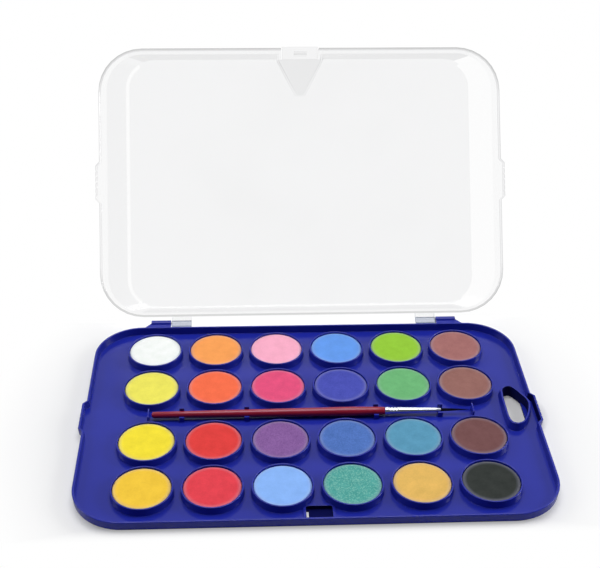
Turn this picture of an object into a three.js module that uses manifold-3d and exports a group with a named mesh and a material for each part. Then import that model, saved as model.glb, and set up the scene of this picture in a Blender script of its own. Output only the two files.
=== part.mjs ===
// A flat school box of twenty-four watercolour tablets with a brush and a clear hinged lid.
// Millimetres, X to the right, Y away from the user, Z up from the surface that the tray stands on.
// The origin is the middle of the tray's underside. The lid stands open on its hinge stop.
import * as THREE from 'three';
import { mergeGeometries, mergeVertices } from 'three/addons/utils/BufferGeometryUtils.js';
import Module from 'manifold-3d';

// Clearances and overruns that every piece shares
const fitGap = 0.3;
const cutOverrun = 1;
const weldDistance = 0.0001;

// Paint tablets, and how they are spaced: two banks of rows with the brush between them, all a
// little behind the tray's middle
const tabletDiameter = 30;
const tabletThickness = 3.5;
const tabletEdge = 0.5;
const tabletGap = 6;
const brushLane = 16.2;
const rowShift = 0.9;
const tabletColumns = 6;
const tabletRowsPerBank = 2;
const roundSides = 24;

// Collars that hold the tablets
const collarWall = 0.9;
const collarLip = 0.7;

// Tray, with its margins round the tablets
const sideMargin = 20.5;
const rowMargin = 9.4;
const trayCorner = 27;
const cornerSteps = 8;
const trayFoot = 1.2;
const floorThickness = 1.4;
const rimOverCollar = 0.1;
const rimWidth = 1.3;
const wallSlope = 0.35;
const footInset = 2.5;
const footSlopeHeight = 2.4;
const footBand = 4;
const undersideRib = 5;

// Finger grips in the middle of both short sides, the same on the tray and on the lid
const gripDepth = 2.3;
const gripHalf = 10.5;
const gripRamp = 2.5;
const gripNotches = 5;
const gripNotchWidth = 1.2;
const gripNotchDepth = 0.5;

// Thumb hole on the right
const thumbHoleWidth = 13.1;
const thumbHoleLength = 32;
const thumbHoleInset = 9.6;
const thumbHoleY = 3.1;
const thumbCollarWall = 1;
const thumbCollarFootWidth = 1.8;
const thumbCollarFootLength = 2.2;
const thumbHoleSteps = 28;
const thumbHoleOutlineShares = [
  [-0.4, 0.45],
  [-0.06, 0.5],
  [0.3, 0.28],
  [0.5, 0.06],
  [0.37, -0.2],
  [0.12, -0.42],
  [-0.2, -0.5],
  [-0.47, -0.4],
  [-0.5, 0],
  [-0.48, 0.28],
];

// Brush: handle, ferrule and hair on one axis
const handleLength = 129.6;
const handleEndRadius = 1.55;
const handleBellyRadius = 2.45;
const handleNeckRadius = 2.15;
const handleBellyShare = 0.86;
const handleEndRound = 1.2;
const handleEndShare = 0.7;
const tenonLength = 8;
const tenonRadius = 1.1;
const ferruleLength = 31.1;
const ferruleTipRadius = 1.2;
const ferruleWall = 0.3;
const crimpCount = 3;
const crimpPitch = 1.7;
const crimpDepth = 0.2;
const crimpWidth = 0.7;
const crimpOffset = 3;
const hairLength = 17.8;
const hairTipShare = 0.1;
const hairRootDepth = 1.6;
const hairBackingDepth = 1;
const hairGap = 0.15;
const hairAcross = 21;
const strandShare = 0.32;
const brushShift = 0.5;
const brushOverFloor = 3.1;
const brushSides = 16;

// Rests for the brush
const brushEndPlay = 0.8;
const stopThickness = 0.8;
const stopLength = 7.6;
const clipWidth = 2.7;
const clipWall = 1.1;
const clipRearRise = 2.6;
const clipColumnShares = [-2, -1, 1, 2];

// Hinge between the tray's ears and the lid's knuckles
const hingeSetback = 4.3;
const hingeBelowSeam = 1;
const hingeEndPlay = 0.5;
const earInner = 82;
const earOuter = 94;
const earTaper = 3.5;
const earRadius = 2;
const earArmHeight = 3.6;
const knuckleInner = 69.5;
const knuckleRadius = 1.8;
const webThickness = 1.3;
const pinRadius = 1.1;
const pinLength = 5.2;
const heelThickness = 2.8;
const lidOpenAngle = 125;

// Clear lid
const lidWall = 1.2;
const lidRimHeight = 3.4;
const lidDomeHeight = 9;
const lidShoulder = 0.8;
const panelCorner = 16;
const flangeSide = 4.4;
const flangeRear = 2.4;
const flangeFront = 2.8;
const slopeSide = 11.5;
const slopeRear = 2.6;
const slopeFront = 2.4;
const panelRound = 2;
const panelRoundHeight = 0.8;

// Thumb ramp in the lid, and the latch tab that flexes at its foot
const rampLength = 21;
const rampTopWidth = 4;
const rampFootWidth = 26.6;
const slitSpacing = 23;
const slitWidth = 0.7;
const tabRoot = 6.8;
const tabReach = 1.3;
const hookWidth = 8;
const hookThickness = 1.2;
const hookCatch = 0.5;
const hookBarbHeight = 1.6;

// Latch pocket in the tray, and the nose that the hook snaps under
const pocketWidth = 13.4;
const pocketLength = 10.7;
const pocketFloor = 0.8;
const windowWidth = 1.3;
const windowLength = 6.6;
const windowSetback = 2.8;
const pocketFrameWidth = 1.5;
const pocketFrameHeight = 0.5;
const pocketFrameChamfer = 2.6;
const catchDepth = 1.4;
const catchBelowRim = 2;
const noseReach = 0.8;
const noseHeight = 1;

// Sizes and places worked out from the sizes above
const tabletPitch = tabletDiameter + tabletGap;
const brushChannel = tabletDiameter + brushLane;
const columnsAcross = (tabletColumns - 1) * tabletPitch + tabletDiameter;
const rowsAcross = 2 * (tabletRowsPerBank - 1) * tabletPitch + brushChannel + tabletDiameter;
const trayLength = columnsAcross + 2 * sideMargin;
const trayWidth = rowsAcross + 2 * rowMargin;
const thumbHoleX = trayLength / 2 - thumbHoleInset;
const floorTop = trayFoot + floorThickness;
const floorMiddle = floorTop - floorThickness / 2;
const tabletBottom = floorTop + fitGap;
const tabletTop = tabletBottom + tabletThickness;
const collarTop = tabletTop + collarLip;
const rimTop = collarTop + rimOverCollar;
const collarInner = tabletDiameter / 2 + fitGap;
const collarOuter = collarInner + collarWall;
const seamHeight = rimTop + fitGap;
const hingeY = trayWidth / 2 + hingeSetback;
const hingeZ = seamHeight - hingeBelowSeam;
const innerFront = -trayWidth / 2 + rimWidth;
const gripRoot = gripHalf + gripRamp;
const brushAxisZ = floorTop + brushOverFloor;
const brushLength = handleLength + ferruleLength + hairLength;
const brushStart = brushShift - brushLength / 2;
const ferruleStart = brushStart + handleLength;
const pocketFront = innerFront + catchDepth;
const noseTip = pocketFront + noseReach;
const noseBottom = rimTop - catchBelowRim - noseHeight;

const wasm = await Module();
wasm.setup();

// A closed geometry as a solid that can be joined and cut.
function solidOf(geometry) {
  const bare = geometry.clone();
  bare.deleteAttribute('normal');
  bare.deleteAttribute('uv');
  const merged = mergeVertices(bare, weldDistance);
  const vertProperties = new Float32Array(merged.attributes.position.array);
  const triVerts = new Uint32Array(merged.index.array);
  return new wasm.Manifold(new wasm.Mesh({ numProp: 3, vertProperties, triVerts }));
}

function geometryOf(solid) {
  const mesh = solid.getMesh();
  const geometry = new THREE.BufferGeometry();
  geometry.setAttribute('position', new THREE.BufferAttribute(mesh.vertProperties, 3));
  geometry.setIndex(new THREE.BufferAttribute(mesh.triVerts, 1));
  const flat = geometry.toNonIndexed();
  flat.computeVertexNormals();
  return flat;
}

function block(x, y, z) {
  const box = new THREE.BoxGeometry(x[1] - x[0], y[1] - y[0], z[1] - z[0]);
  box.translate((x[0] + x[1]) / 2, (y[0] + y[1]) / 2, (z[0] + z[1]) / 2);
  return solidOf(box);
}

// Two places along an axis, the lower one first.
function ordered(a, b) {
  return a < b ? [a, b] : [b, a];
}

// A round bar along X between two places.
function roundBar(radius, x, y, z, sides = roundSides) {
  const bar = new THREE.CylinderGeometry(radius, radius, Math.abs(x[1] - x[0]), sides);
  bar.rotateZ(Math.PI / 2);
  bar.translate((x[0] + x[1]) / 2, y, z);
  return solidOf(bar);
}

// A turned solid about Z from a profile of [radius, height] points.
function turned(profile, sides = roundSides) {
  const points = profile.map(([radius, height]) => new THREE.Vector2(radius, height));
  const geometry = new THREE.LatheGeometry(points, sides);
  geometry.rotateX(Math.PI / 2);
  return geometry;
}

// A prism along X from [y, z] points, counter-clockwise seen from +X.
function prismAlongX(points, x) {
  const shape = new THREE.Shape(points.map(([y, z]) => new THREE.Vector2(y, z)));
  const geometry = new THREE.ExtrudeGeometry(shape, { depth: x[1] - x[0], bevelEnabled: false });
  geometry.applyMatrix4(new THREE.Matrix4().makeBasis(
    new THREE.Vector3(0, 1, 0),
    new THREE.Vector3(0, 0, 1),
    new THREE.Vector3(1, 0, 0),
  ));
  geometry.translate(x[0], 0, 0);
  return solidOf(geometry);
}

// A prism upwards from [x, y] points.
function prismUp(points, z) {
  const shape = new THREE.Shape(points.map(([x, y]) => new THREE.Vector2(x, y)));
  const geometry = new THREE.ExtrudeGeometry(shape, { depth: z[1] - z[0], bevelEnabled: false });
  geometry.translate(0, 0, z[0]);
  return solidOf(geometry);
}

// A skin over loops of equally many [x, y] points, each at its height, closed flat at both ends.
function loft(loops) {
  const count = loops[0].points.length;
  const position = [];
  for (const { points, z } of loops) {
    for (const [x, y] of points) {
      position.push(x, y, z);
    }
  }
  const index = [];
  for (let ring = 0; ring < loops.length - 1; ring += 1) {
    for (let here = 0; here < count; here += 1) {
      const next = (here + 1) % count;
      const a = ring * count + here;
      const b = ring * count + next;
      const c = (ring + 1) * count + next;
      const d = (ring + 1) * count + here;
      index.push(a, b, c, a, c, d);
    }
  }
  const contour = (points) => points.map(([x, y]) => new THREE.Vector2(x, y));
  for (const [a, b, c] of THREE.ShapeUtils.triangulateShape(contour(loops[0].points), [])) {
    index.push(a, c, b);
  }
  const last = (loops.length - 1) * count;
  for (const [a, b, c] of THREE.ShapeUtils.triangulateShape(contour(loops.at(-1).points), [])) {
    index.push(last + a, last + b, last + c);
  }
  const geometry = new THREE.BufferGeometry();
  geometry.setAttribute('position', new THREE.Float32BufferAttribute(position, 3));
  geometry.setIndex(index);
  return solidOf(geometry);
}

// Places along one short side, from front to back, where the grip steps out: [y, out, in].
// out is the share of the grip's depth there, in is 1 at the bottom of a notch.
function gripPlaces() {
  const places = [[-gripRoot, 0, 0], [-gripHalf, 1, 0]];
  const pitch = (2 * gripHalf) / (gripNotches + 1);
  for (let notch = 1; notch <= gripNotches; notch += 1) {
    const middle = -gripHalf + notch * pitch;
    places.push([middle - gripNotchWidth / 2, 1, 0]);
    places.push([middle, 1, 1]);
    places.push([middle + gripNotchWidth / 2, 1, 0]);
  }
  places.push([gripHalf, 1, 0], [gripRoot, 0, 0]);
  return places;
}

// The outline that the tray and the lid share: a rectangle with round corners and side grips.
// side, front and back are how far it is drawn in from the tray's size, all round or one by one.
function outline({ side, front = side, back = side, corner = trayCorner - side, grip = 0, notch = 0 }) {
  const halfX = trayLength / 2 - side;
  const low = -trayWidth / 2 + front;
  const high = trayWidth / 2 - back;
  const out = ([, share, bottom]) => share * grip - bottom * notch;
  const places = gripPlaces();
  const points = [];
  const addCorner = (x, y, quarter) => {
    for (let step = 0; step <= cornerSteps; step += 1) {
      const angle = (quarter + step / cornerSteps) * (Math.PI / 2);
      points.push([x + corner * Math.cos(angle), y + corner * Math.sin(angle)]);
    }
  };
  addCorner(halfX - corner, low + corner, -1);
  for (const place of places) {
    points.push([halfX + out(place), place[0]]);
  }
  addCorner(halfX - corner, high - corner, 0);
  addCorner(-halfX + corner, high - corner, 1);
  for (const place of places.toReversed()) {
    points.push([-halfX - out(place), place[0]]);
  }
  addCorner(-halfX + corner, low + corner, 2);
  return points;
}

// The thumb hole's outline, widened and lengthened on every side by the given amounts.
function thumbOutline(wider, longer) {
  const width = thumbHoleWidth + 2 * wider;
  const length = thumbHoleLength + 2 * longer;
  const corners = thumbHoleOutlineShares.map(
    ([across, along]) => new THREE.Vector3(thumbHoleX + across * width, thumbHoleY + along * length, 0),
  );
  const curve = new THREE.CatmullRomCurve3(corners.toReversed(), true);
  return curve.getPoints(thumbHoleSteps).slice(0, -1).map(({ x, y }) => [x, y]);
}

// Middles of the tablets, row by row from the back, left to right.
function tabletPlaces() {
  const places = [];
  const rows = [];
  for (let row = tabletRowsPerBank - 1; row >= 0; row -= 1) {
    rows.push(rowShift + brushChannel / 2 + row * tabletPitch);
  }
  for (let row = 0; row < tabletRowsPerBank; row += 1) {
    rows.push(rowShift - brushChannel / 2 - row * tabletPitch);
  }
  for (const y of rows) {
    for (let column = 0; column < tabletColumns; column += 1) {
      places.push([(column - (tabletColumns - 1) / 2) * tabletPitch, y]);
    }
  }
  return places;
}

// The brush handle's radius at a place along X.
function handleRadiusAt(x) {
  const along = THREE.MathUtils.clamp((x - brushStart) / handleLength, 0, 1);
  if (along < handleBellyShare) {
    return THREE.MathUtils.lerp(handleEndRadius, handleBellyRadius, along / handleBellyShare);
  }
  const past = (along - handleBellyShare) / (1 - handleBellyShare);
  return THREE.MathUtils.lerp(handleBellyRadius, handleNeckRadius, past);
}

// The ferrule's outer radius at a place along X.
function ferruleRadiusAt(x) {
  const along = THREE.MathUtils.clamp((x - ferruleStart) / ferruleLength, 0, 1);
  return THREE.MathUtils.lerp(handleNeckRadius, ferruleTipRadius, along);
}

function trayShell() {
  const grip = gripDepth;
  const notch = gripNotchDepth;
  const shell = loft([
    { points: outline({ side: footInset, grip, notch }), z: 0 },
    { points: outline({ side: wallSlope, grip, notch }), z: footSlopeHeight },
    { points: outline({ side: 0, grip, notch }), z: rimTop },
    { points: outline({ side: rimWidth, grip }), z: rimTop },
    { points: outline({ side: rimWidth + wallSlope, grip }), z: floorTop },
  ]);
  const hollow = loft([
    { points: outline({ side: footInset + footBand }), z: -cutOverrun },
    { points: outline({ side: footInset + footBand }), z: trayFoot },
  ]);
  const half = undersideRib / 2;
  const reach = trayLength / 2;
  const height = [-2 * cutOverrun, trayFoot + cutOverrun];
  const pocket = pocketWidth / 2 + pocketFrameWidth;
  const ribs = block([-reach, reach], [-half, half], height)
    .add(block([-half, half], [-reach, reach], height))
    .add(block([-pocket, pocket], [-reach, pocketFront + pocketLength + pocketFrameWidth], height));
  const thumbBand = loft([
    { points: thumbOutline(thumbCollarFootWidth, thumbCollarFootLength), z: height[0] },
    { points: thumbOutline(thumbCollarFootWidth, thumbCollarFootLength), z: height[1] },
  ]);
  return shell.subtract(hollow.subtract(ribs).subtract(thumbBand));
}

function addCollars(tray) {
  const height = collarTop - floorTop;
  const profile = [
    [collarInner, -trayFoot / 2],
    [collarOuter, -trayFoot / 2],
    [collarOuter, height],
    [collarInner, height],
    [collarInner, -trayFoot / 2],
  ];
  let joined = tray;
  for (const [x, y] of tabletPlaces()) {
    const collar = turned(profile);
    collar.translate(x, y, floorTop);
    joined = joined.add(solidOf(collar));
  }
  return joined;
}

function addThumbHole(tray) {
  const collar = loft([
    { points: thumbOutline(thumbCollarFootWidth, thumbCollarFootLength), z: trayFoot },
    { points: thumbOutline(thumbCollarFootWidth, thumbCollarFootLength), z: floorTop },
    { points: thumbOutline(thumbCollarWall, thumbCollarWall), z: collarTop },
  ]);
  const hole = loft([
    { points: thumbOutline(0, 0), z: -cutOverrun },
    { points: thumbOutline(0, 0), z: rimTop + cutOverrun },
  ]);
  return tray.add(collar).subtract(hole);
}

// The pocket that the tip of the latch hook drops into, with its frame, a narrow window in its
// bottom, and the nose at its front that the hook snaps under.
function addLatchPocket(tray) {
  const half = pocketWidth / 2;
  const outer = half + pocketFrameWidth;
  const back = pocketFront + pocketLength;
  const frameBack = back + pocketFrameWidth;
  const wallMiddle = innerFront - rimWidth / 2;
  const frame = prismUp([
    [-outer, wallMiddle],
    [outer, wallMiddle],
    [outer, frameBack - pocketFrameChamfer],
    [outer - pocketFrameChamfer, frameBack],
    [-outer + pocketFrameChamfer, frameBack],
    [-outer, frameBack - pocketFrameChamfer],
  ], [floorMiddle, floorTop + pocketFrameHeight]);
  const pocket = block([-half, half], [pocketFront, back], [pocketFloor, rimTop]);
  const windowFront = pocketFront + windowSetback;
  const opening = block(
    [-half, windowWidth - half],
    [windowFront, windowFront + windowLength],
    [-cutOverrun, rimTop],
  );
  const catchTop = noseBottom + noseHeight;
  const nose = prismAlongX([
    [wallMiddle, floorMiddle],
    [pocketFront, floorMiddle],
    [pocketFront, noseBottom],
    [noseTip, noseBottom],
    [noseTip, catchTop - noseHeight / 2],
    [noseTip - noseHeight / 2, catchTop],
    [wallMiddle, catchTop],
  ], [-half, half]);
  return tray.add(frame).subtract(pocket).subtract(opening).add(nose);
}

// Two upright stops past the brush's ends, and four clips that its handle and ferrule lie in.
function addBrushRests(tray) {
  const stopX = brushLength / 2 + brushEndPlay;
  let joined = tray;
  for (const side of [-1, 1]) {
    const ends = ordered(side * stopX, side * (stopX + stopThickness));
    const along = [rowShift - stopLength / 2, rowShift + stopLength / 2];
    joined = joined.add(block(ends, along, [floorMiddle, rimTop]));
  }
  for (const share of clipColumnShares) {
    const x = share * tabletPitch;
    const radius = x < ferruleStart ? handleRadiusAt(x) : ferruleRadiusAt(x);
    const inner = radius + fitGap;
    const outer = inner + clipWall;
    const across = [x - clipWidth / 2, x + clipWidth / 2];
    const saddle = block(across, [rowShift - outer, rowShift + outer], [floorMiddle, brushAxisZ]);
    const height = [floorMiddle, brushAxisZ + clipRearRise];
    const rear = block(across, [rowShift + inner, rowShift + outer], height);
    const length = [across[0] - cutOverrun, across[1] + cutOverrun];
    const groove = roundBar(inner, length, rowShift, brushAxisZ);
    joined = joined.add(saddle).add(rear).subtract(groove);
  }
  return joined;
}

// Ears behind the rim, each with a round end, a tapering arm and a blind bore for a lid pin.
function addEars(tray) {
  const wall = trayWidth / 2;
  let joined = tray;
  for (const side of [-1, 1]) {
    const arm = prismUp([
      [side * earInner, wall - rimWidth],
      [side * (earOuter + earTaper), wall - rimWidth],
      [side * (earOuter + earTaper), wall - wallSlope],
      [side * earOuter, hingeY],
      [side * earInner, hingeY],
    ], [rimTop - earArmHeight, rimTop]);
    const knuckle = roundBar(earRadius, ordered(side * earInner, side * earOuter), hingeY, hingeZ);
    const boreEnd = earInner + pinLength + fitGap;
    const bore = ordered(side * (earInner - cutOverrun), side * boreEnd);
    const hole = roundBar(pinRadius + fitGap, bore, hingeY, hingeZ);
    joined = joined.add(arm).add(knuckle).subtract(hole);
  }
  return joined;
}

function tray() {
  let solid = trayShell();
  solid = addCollars(solid);
  solid = addThumbHole(solid);
  solid = addLatchPocket(solid);
  solid = addBrushRests(solid);
  return addEars(solid);
}

// The V-shaped thumb ramp, down from the lid's panel to its flange and on out at the front.
// wider and deeper set it off from the outer surface, to leave the wall's thickness.
function thumbRamp(wider, deeper) {
  const foot = -trayWidth / 2 + tabRoot;
  const top = foot + rampLength + wider;
  const front = -trayWidth / 2 - tabReach - cutOverrun;
  const high = seamHeight + lidDomeHeight + cutOverrun;
  const halfTop = rampTopWidth / 2 + wider;
  const halfFoot = rampFootWidth / 2 + wider;
  const footZ = seamHeight + lidRimHeight - deeper;
  const side = prismAlongX([
    [front, footZ],
    [foot, footZ],
    [top, seamHeight + lidDomeHeight - deeper],
    [top, high],
    [front, high],
  ], [-halfFoot, halfFoot]);
  const plan = prismUp([
    [-halfTop, top],
    [-halfFoot, foot],
    [-halfFoot, front],
    [halfFoot, front],
    [halfFoot, foot],
    [halfTop, top],
  ], [seamHeight - cutOverrun, high + cutOverrun]);
  return side.intersect(plan);
}

// The lid's skin: a short rim wall, a flat flange and a raised panel with sloping sides.
function lidShell() {
  const flangeTop = seamHeight + lidRimHeight;
  const panelTop = seamHeight + lidDomeHeight;
  const step = (wall) => ({
    side: flangeSide + wall,
    front: flangeFront + wall,
    back: flangeRear + wall,
  });
  const rise = (wall) => ({
    side: flangeSide + slopeSide + wall,
    front: flangeFront + slopeFront + wall,
    back: flangeRear + slopeRear + wall,
    corner: panelCorner + panelRound,
  });
  const panel = (wall) => ({
    side: flangeSide + slopeSide + panelRound + wall,
    front: flangeFront + slopeFront + panelRound + wall,
    back: flangeRear + slopeRear + panelRound + wall,
    corner: panelCorner,
  });
  const grips = { grip: gripDepth, notch: gripNotchDepth };
  const outer = loft([
    { points: outline({ side: 0, ...grips }), z: seamHeight },
    { points: outline({ side: 0, ...grips }), z: flangeTop - lidShoulder },
    { points: outline({ side: lidShoulder, ...grips }), z: flangeTop },
    { points: outline(step(0)), z: flangeTop },
    { points: outline(rise(0)), z: panelTop - panelRoundHeight },
    { points: outline(panel(0)), z: panelTop },
  ]);
  const skew = lidWall / 2;
  const inner = loft([
    { points: outline({ side: lidWall, grip: gripDepth }), z: seamHeight - cutOverrun },
    { points: outline({ side: lidWall, grip: gripDepth }), z: flangeTop - lidWall },
    { points: outline(step(skew)), z: flangeTop - lidWall },
    { points: outline(rise(skew)), z: panelTop - panelRoundHeight - lidWall },
    { points: outline(panel(skew)), z: panelTop - lidWall },
  ]);
  return outer.subtract(thumbRamp(0, 0)).subtract(inner.subtract(thumbRamp(lidWall, lidWall)));
}

// A knuckle on the lid's rear wall, with its pin and the heel that stops the lid when it is open.
function addKnuckles(lid) {
  const wall = trayWidth / 2;
  const outerEnd = earInner - hingeEndPlay;
  const heelReach = hingeSetback - fitGap;
  const angle = THREE.MathUtils.degToRad(lidOpenAngle);
  const heelCorners = [
    [-heelReach, -heelThickness / 2],
    [0, -heelThickness / 2],
    [0, heelThickness / 2],
    [-heelReach, heelThickness / 2],
  ].map(([y, z]) => [
    hingeY + y * Math.cos(angle) - z * Math.sin(angle),
    hingeZ + y * Math.sin(angle) + z * Math.cos(angle),
  ]);
  let joined = lid;
  for (const side of [-1, 1]) {
    const span = ordered(side * knuckleInner, side * outerEnd);
    const barrel = roundBar(knuckleRadius, span, hingeY, hingeZ);
    const webHeight = [seamHeight + fitGap, seamHeight + fitGap + webThickness];
    const web = block(span, [wall - lidWall / 2, hingeY + knuckleRadius / 2], webHeight);
    const heel = prismAlongX(heelCorners, span);
    const pinSpan = ordered(side * (outerEnd - cutOverrun), side * (outerEnd + pinLength));
    const pin = roundBar(pinRadius, pinSpan, hingeY, hingeZ);
    joined = joined.add(barrel).add(web).add(heel).add(pin);
  }
  return joined;
}

function lid() {
  const front = -trayWidth / 2;
  const half = (slitSpacing + slitWidth) / 2;
  const tabOpening = block(
    [-half, half],
    [front - gripDepth, front + tabRoot],
    [seamHeight - cutOverrun, seamHeight + lidDomeHeight],
  );
  return addKnuckles(lidShell().subtract(tabOpening));
}

// The flexing tab at the lid's front edge: a flat plate with a hook that snaps under the nose.
function latchTab() {
  const front = -trayWidth / 2;
  const half = (slitSpacing - slitWidth) / 2;
  const plateTop = seamHeight + lidRimHeight;
  const plate = block(
    [-half, half],
    [front - tabReach, front + tabRoot - fitGap],
    [plateTop - lidWall, plateTop],
  );
  const stem = noseTip + fitGap;
  const barbTop = noseBottom - fitGap;
  const hook = prismAlongX([
    [stem + hookThickness, plateTop - lidWall / 2],
    [stem, plateTop - lidWall / 2],
    [stem, barbTop],
    [noseTip - hookCatch, barbTop],
    [stem, barbTop - hookBarbHeight],
    [stem + hookThickness, barbTop - hookBarbHeight],
  ], [-hookWidth / 2, hookWidth / 2]);
  return plate.add(hook);
}

// The painted handle, from its round end over the belly to the tenon that the ferrule grips.
function brushHandle() {
  return turned([
    [0, 0],
    [handleEndRadius * handleEndShare, handleEndRound * (1 - handleEndShare) / 2],
    [handleEndRadius, handleEndRound],
    [handleBellyRadius, handleLength * handleBellyShare],
    [handleNeckRadius, handleLength],
    [tenonRadius, handleLength],
    [tenonRadius, handleLength + tenonLength],
    [0, handleLength + tenonLength],
  ], brushSides);
}

// The crimped metal tube between the handle and the hair, open at both ends.
function ferrule() {
  const outerAt = (along) => ferruleRadiusAt(ferruleStart + along);
  const profile = [[outerAt(fitGap), fitGap]];
  for (let crimp = 0; crimp < crimpCount; crimp += 1) {
    const middle = crimpOffset + crimp * crimpPitch;
    profile.push([outerAt(middle - crimpWidth / 2), middle - crimpWidth / 2]);
    profile.push([outerAt(middle) - crimpDepth, middle]);
    profile.push([outerAt(middle + crimpWidth / 2), middle + crimpWidth / 2]);
  }
  profile.push([ferruleTipRadius, ferruleLength]);
  profile.push([ferruleTipRadius - ferruleWall, ferruleLength]);
  profile.push([outerAt(fitGap) - ferruleWall - crimpDepth, fitGap]);
  profile.push(profile[0]);
  return turned(profile, brushSides);
}

// Places of the strands' roots: a hexagonal grid inside the tuft's root circle.
function strandPlaces(pitch, limit) {
  const places = [];
  const rowPitch = pitch * Math.sin(Math.PI / 3);
  const rows = Math.floor(limit / rowPitch);
  for (let row = -rows; row <= rows; row += 1) {
    const shift = row % 2 === 0 ? 0 : pitch / 2;
    for (let column = -rows - 1; column <= rows + 1; column += 1) {
      const x = column * pitch + shift;
      const y = row * rowPitch;
      if (Math.hypot(x, y) <= limit) {
        places.push([x, y]);
      }
    }
  }
  return places;
}

// The hair: single strands drawn to a point, rooted in a slice of glue inside the ferrule.
function brushHair() {
  const rootRadius = ferruleTipRadius - ferruleWall - hairGap;
  const pitch = (2 * rootRadius) / hairAcross;
  const strandRadius = pitch * strandShare;
  const rootZ = -hairRootDepth + hairBackingDepth / 2;
  const strands = strandPlaces(pitch, rootRadius - strandRadius - pitch / 2).map(([x, y]) => {
    const length = hairLength - rootZ;
    const strand = new THREE.CylinderGeometry(strandRadius * hairTipShare, strandRadius, length, 3);
    strand.rotateX(Math.PI / 2);
    strand.translate(0, 0, rootZ + length / 2);
    const position = strand.getAttribute('position');
    for (let i = 0; i < position.count; i += 1) {
      const drawn = position.getZ(i) > 0 ? hairTipShare : 1;
      position.setXY(i, position.getX(i) + x * drawn, position.getY(i) + y * drawn);
    }
    return strand;
  });
  const backing = turned([
    [0, -hairRootDepth],
    [rootRadius, -hairRootDepth],
    [rootRadius, -hairRootDepth + hairBackingDepth],
    [0, -hairRootDepth + hairBackingDepth],
  ], brushSides);
  console.log(`${strands.length} strands in the brush's hair`);
  return geometryOf(solidOf(backing).add(solidOf(mergeGeometries(strands))));
}

function tabletGeometry() {
  const radius = tabletDiameter / 2;
  return turned([
    [0, 0],
    [radius, 0],
    [radius, tabletThickness - tabletEdge],
    [radius - tabletEdge, tabletThickness],
    [0, tabletThickness],
  ]);
}

function piece(name, geometry, look) {
  const mesh = new THREE.Mesh(geometry, new THREE.MeshStandardMaterial(look));
  mesh.name = name;
  return mesh;
}

// The box, put together
const clearPlastic = {
  color: 0xe9edf0,
  roughness: 0.08,
  metalness: 0,
  transparent: true,
  opacity: 0.25,
};
const paints = [
  ['paint_white', 0xf9fff9],
  ['paint_light_orange', 0xfda55c],
  ['paint_pink', 0xfcb2cc],
  ['paint_sky_blue', 0x679ff0],
  ['paint_lime_green', 0x98cc40],
  ['paint_rose_brown', 0xa6716f],
  ['paint_lemon_yellow', 0xf1e963],
  ['paint_vermilion', 0xfa734f],
  ['paint_magenta', 0xe65581],
  ['paint_ultramarine', 0x4c53b5],
  ['paint_green', 0x70b87b],
  ['paint_light_brown', 0x996c65],
  ['paint_yellow', 0xf4e13d],
  ['paint_red', 0xe14552],
  ['paint_violet', 0x88609e],
  ['paint_blue', 0x5377bf],
  ['paint_turquoise', 0x5c9aba],
  ['paint_dark_brown', 0x775253],
  ['paint_golden_yellow', 0xf7c942],
  ['paint_crimson', 0xe44652],
  ['paint_light_blue', 0x8cb7fc],
  ['paint_emerald', 0x5eaba2],
  ['paint_ochre', 0xe5ba64],
  ['paint_black', 0x373c3a],
];

const box = new THREE.Group();
box.add(piece('tray', geometryOf(tray()), { color: 0x32369a, roughness: 0.3, metalness: 0 }));
tabletPlaces().forEach(([x, y], index) => {
  const [name, color] = paints[index];
  const tablet = piece(name, tabletGeometry(), { color, roughness: 0.85, metalness: 0 });
  tablet.position.set(x, y, tabletBottom);
  box.add(tablet);
});

const brush = new THREE.Group();
const hair = piece('brush_hair', brushHair(), { color: 0x1c1a26, roughness: 0.6, metalness: 0 });
hair.position.z = handleLength + ferruleLength;
const tube = piece('brush_ferrule', ferrule(), { color: 0xd4dcf0, roughness: 0.2, metalness: 0.9 });
tube.position.z = handleLength;
brush.add(piece('brush_handle', brushHandle(), { color: 0x96202c, roughness: 0.25, metalness: 0 }));
brush.add(tube, hair);
brush.rotation.y = Math.PI / 2;
brush.position.set(brushStart, rowShift, brushAxisZ);
box.add(brush);

// The lid's pieces are drawn as they lie when it is shut, then swung open about the hinge.
const openLid = new THREE.Group();
openLid.position.set(0, hingeY, hingeZ);
openLid.rotation.x = -THREE.MathUtils.degToRad(lidOpenAngle);
const lidPieces = new THREE.Group();
lidPieces.position.set(0, -hingeY, -hingeZ);
lidPieces.add(piece('lid', geometryOf(lid()), clearPlastic));
lidPieces.add(piece('latch_tab', geometryOf(latchTab()), clearPlastic));
openLid.add(lidPieces);
box.add(openLid);

export default box;
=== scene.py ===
import bmesh
import bpy
import math
import random
from mathutils import Matrix, Vector, geometry


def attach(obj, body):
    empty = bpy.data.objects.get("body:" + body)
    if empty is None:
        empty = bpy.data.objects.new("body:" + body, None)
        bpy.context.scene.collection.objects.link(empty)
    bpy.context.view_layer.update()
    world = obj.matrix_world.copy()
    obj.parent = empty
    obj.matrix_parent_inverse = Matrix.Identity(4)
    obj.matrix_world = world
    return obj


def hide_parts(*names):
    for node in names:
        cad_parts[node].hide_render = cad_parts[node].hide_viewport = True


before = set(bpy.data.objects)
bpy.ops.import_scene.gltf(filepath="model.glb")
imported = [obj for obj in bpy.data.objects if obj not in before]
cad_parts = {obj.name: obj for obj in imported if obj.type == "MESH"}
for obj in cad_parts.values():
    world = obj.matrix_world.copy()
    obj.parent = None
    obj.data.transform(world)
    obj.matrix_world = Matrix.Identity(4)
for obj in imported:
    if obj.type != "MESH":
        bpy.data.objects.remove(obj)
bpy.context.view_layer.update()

# Camera
# It stands in front of the open box, a little left of its middle, and looks down at it. Its
# three angles are in radians.
mm = 0.001
eye = Vector((-34.522, -494.482, 413.175)) * mm
looks_down = 0.5760827
turned_right = 0.054268
rolled = 0.0161748
sensor_width = 36
focal_length = 68.773
nearest_seen = 10 * mm

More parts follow.
